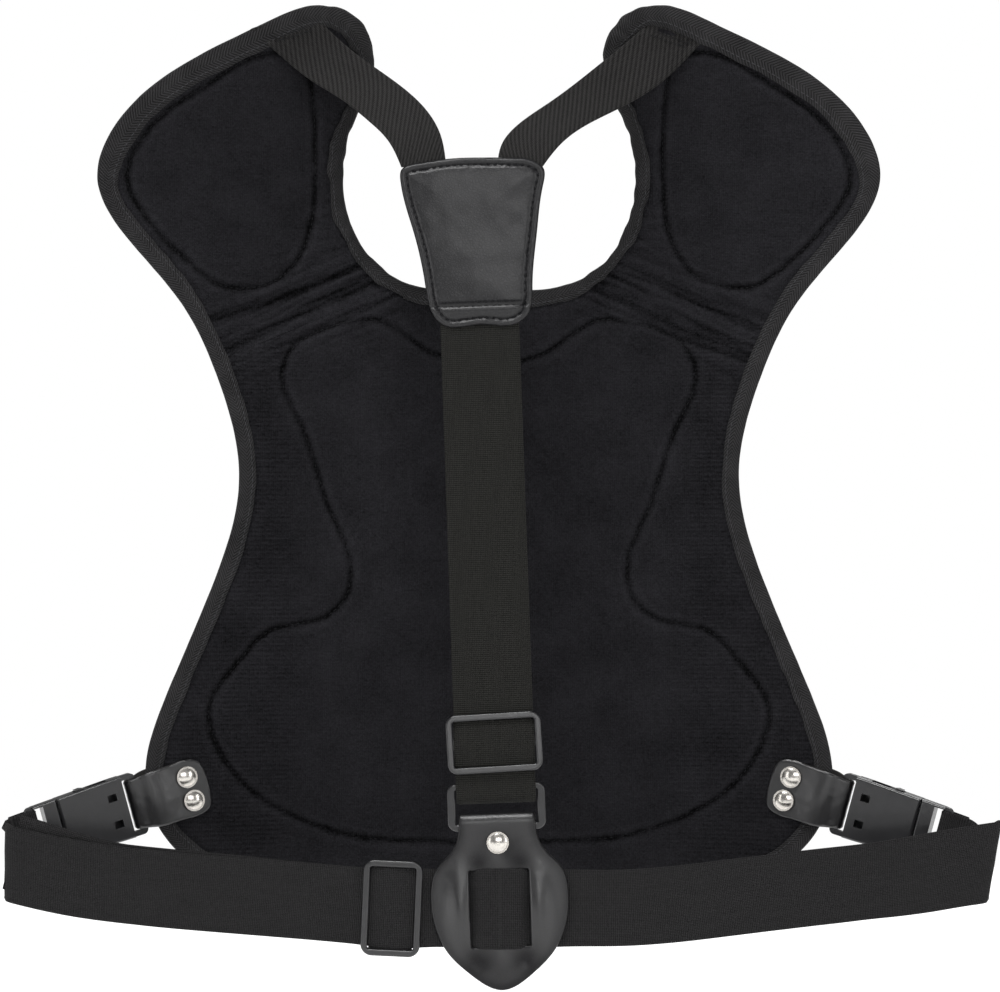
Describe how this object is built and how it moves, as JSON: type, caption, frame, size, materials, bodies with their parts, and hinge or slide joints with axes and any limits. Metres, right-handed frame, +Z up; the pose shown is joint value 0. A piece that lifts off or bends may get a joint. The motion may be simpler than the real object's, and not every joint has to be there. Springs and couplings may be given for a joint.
{
  "type": "chest protector",
  "caption": "Padded body protector with folding shoulder pads and a back harness of elastic straps, yoke, sliders, belt and side buckles.",
  "frame": {"origin": "on the lining, at the lowest point of the neck opening, in the middle", "axes": "+Z up as worn, -Y towards the wearer and the harness, +Y out through the front cover, +X to the right seen from behind"},
  "size_m": [0.5335, 0.1267, 0.522],
  "materials": {
    "lining_knit": "brushed black knit",
    "cover_cloth": "black woven cover cloth",
    "binding_tape": "black herringbone tape",
    "foam": "closed-cell foam",
    "strap_elastic": "ribbed black elastic",
    "belt_elastic": "fine-woven black elastic",
    "black_leather": "grained, semi-gloss",
    "black_plastic": "moulded, satin",
    "nickel_rivet": "polished nickel"
  },
  "bodies": {
    "vest": {"chest_lining": "lining_knit", "chest_base_foam": "foam", "chest_cover": "cover_cloth", "centre_foam_block": "foam", "left_flank_foam_block": "foam", "right_flank_foam_block": "foam", "chest_binding": "binding_tape", "left_gather_panel": "lining_knit", "right_gather_panel": "lining_knit", "yoke_face": "black_leather", "yoke_foam": "foam", "yoke_backing": "lining_knit", "left_shoulder_strap": "strap_elastic", "right_shoulder_strap": "strap_elastic", "back_strap": "strap_elastic", "waist_belt": "belt_elastic", "left_side_tab": "black_leather", "right_side_tab": "black_leather", "left_side_rivets": "nickel_rivet", "right_side_rivets": "nickel_rivet", "left_buckle_socket": "black_plastic", "right_buckle_socket": "black_plastic"},
    "tab_group": {"belt_tab": "black_leather", "belt_tab_rivet": "nickel_rivet", "strap_ring": "black_plastic"},
    "back_slider": {"back_strap_slider": "black_plastic"},
    "front_slider": {"belt_slider": "black_plastic"},
    "left_shoulder": {"left_shoulder_lining": "lining_knit", "left_shoulder_base_foam": "foam", "left_shoulder_foam_block": "foam", "left_shoulder_cover": "cover_cloth", "left_shoulder_binding": "binding_tape"},
    "left_insert": {"left_buckle_insert": "black_plastic"},
    "left_upper_arm": {"left_upper_prong": "black_plastic"},
    "left_lower_arm": {"left_lower_prong": "black_plastic"},
    "right_shoulder": {"right_shoulder_lining": "lining_knit", "right_shoulder_base_foam": "foam", "right_shoulder_foam_block": "foam", "right_shoulder_cover": "cover_cloth", "right_shoulder_binding": "binding_tape"},
    "right_insert": {"right_buckle_insert": "black_plastic"},
    "right_upper_arm": {"right_upper_prong": "black_plastic"},
    "right_lower_arm": {"right_lower_prong": "black_plastic"}
  },
  "joints": [
    {"name": "left_shoulder_fold", "type": "hinge", "parent": "vest", "child": "left_shoulder", "pos_m": [-0.103, -0.0105, -0.01], "axis": [0.8944, 0.2262, 0.3858], "range_deg": [-10, 25], "stiffness_Nm_per_rad": 1.5, "deforming": ["left_gather_panel", "left_shoulder_strap"]},
    {"name": "left_buckle_release", "type": "slide", "parent": "vest", "child": "left_insert", "axis": [-0.8883, -0.3734, -0.2672], "range_m": [0, 0.032], "deforming": ["waist_belt", "left_upper_prong", "left_lower_prong"]},
    {"name": "left_upper_prong_flex", "type": "hinge", "parent": "left_insert", "child": "left_upper_arm", "pos_m": [-0.23111, -0.05699, -0.28146], "axis": [-0.3875, 0.9219, 0], "range_deg": [0, 9], "stiffness_Nm_per_rad": 2},
    {"name": "left_lower_prong_flex", "type": "hinge", "parent": "left_insert", "child": "left_lower_arm", "pos_m": [-0.22642, -0.05502, -0.29977], "axis": [0.3875, -0.9219, 0], "range_deg": [0, 9], "stiffness_Nm_per_rad": 2},
    {"name": "right_shoulder_fold", "type": "hinge", "parent": "vest", "child": "right_shoulder", "pos_m": [0.103, -0.0105, -0.01], "axis": [0.8944, -0.2262, -0.3858], "range_deg": [-10, 25], "stiffness_Nm_per_rad": 1.5, "deforming": ["right_gather_panel", "right_shoulder_strap"]},
    {"name": "right_buckle_release", "type": "slide", "parent": "vest", "child": "right_insert", "axis": [0.8883, -0.3734, -0.2672], "range_m": [0, 0.032], "deforming": ["waist_belt", "right_upper_prong", "right_lower_prong"]},
    {"name": "right_upper_prong_flex", "type": "hinge", "parent": "right_insert", "child": "right_upper_arm", "pos_m": [0.23111, -0.05699, -0.28146], "axis": [-0.3875, -0.9219, 0], "range_deg": [0, 9], "stiffness_Nm_per_rad": 2},
    {"name": "right_lower_prong_flex", "type": "hinge", "parent": "right_insert", "child": "right_lower_arm", "pos_m": [0.22642, -0.05502, -0.29977], "axis": [0.3875, 0.9219, 0], "range_deg": [0, 9], "stiffness_Nm_per_rad": 2},
    {"name": "belt_tab_slide", "type": "slide", "parent": "vest", "child": "tab_group", "axis": [1, 0, 0], "range_m": [-0.003, 0.03], "deforming": ["back_strap", "waist_belt"]},
    {"name": "back_slider_slide", "type": "slide", "parent": "tab_group", "child": "back_slider", "axis": [-0.0349, 0.0942, 0.9949], "range_m": [0, 0.06]},
    {"name": "belt_slider_slide", "type": "slide", "parent": "vest", "child": "front_slider", "axis": [-0.9958, 0.0275, 0.0871], "range_m": [0, 0.1]}
  ],
  "couplings": [
    {"joint": "left_lower_prong_flex", "follows": "left_upper_prong_flex", "ratio": 1},
    {"joint": "right_lower_prong_flex", "follows": "right_upper_prong_flex", "ratio": 1}
  ]
}
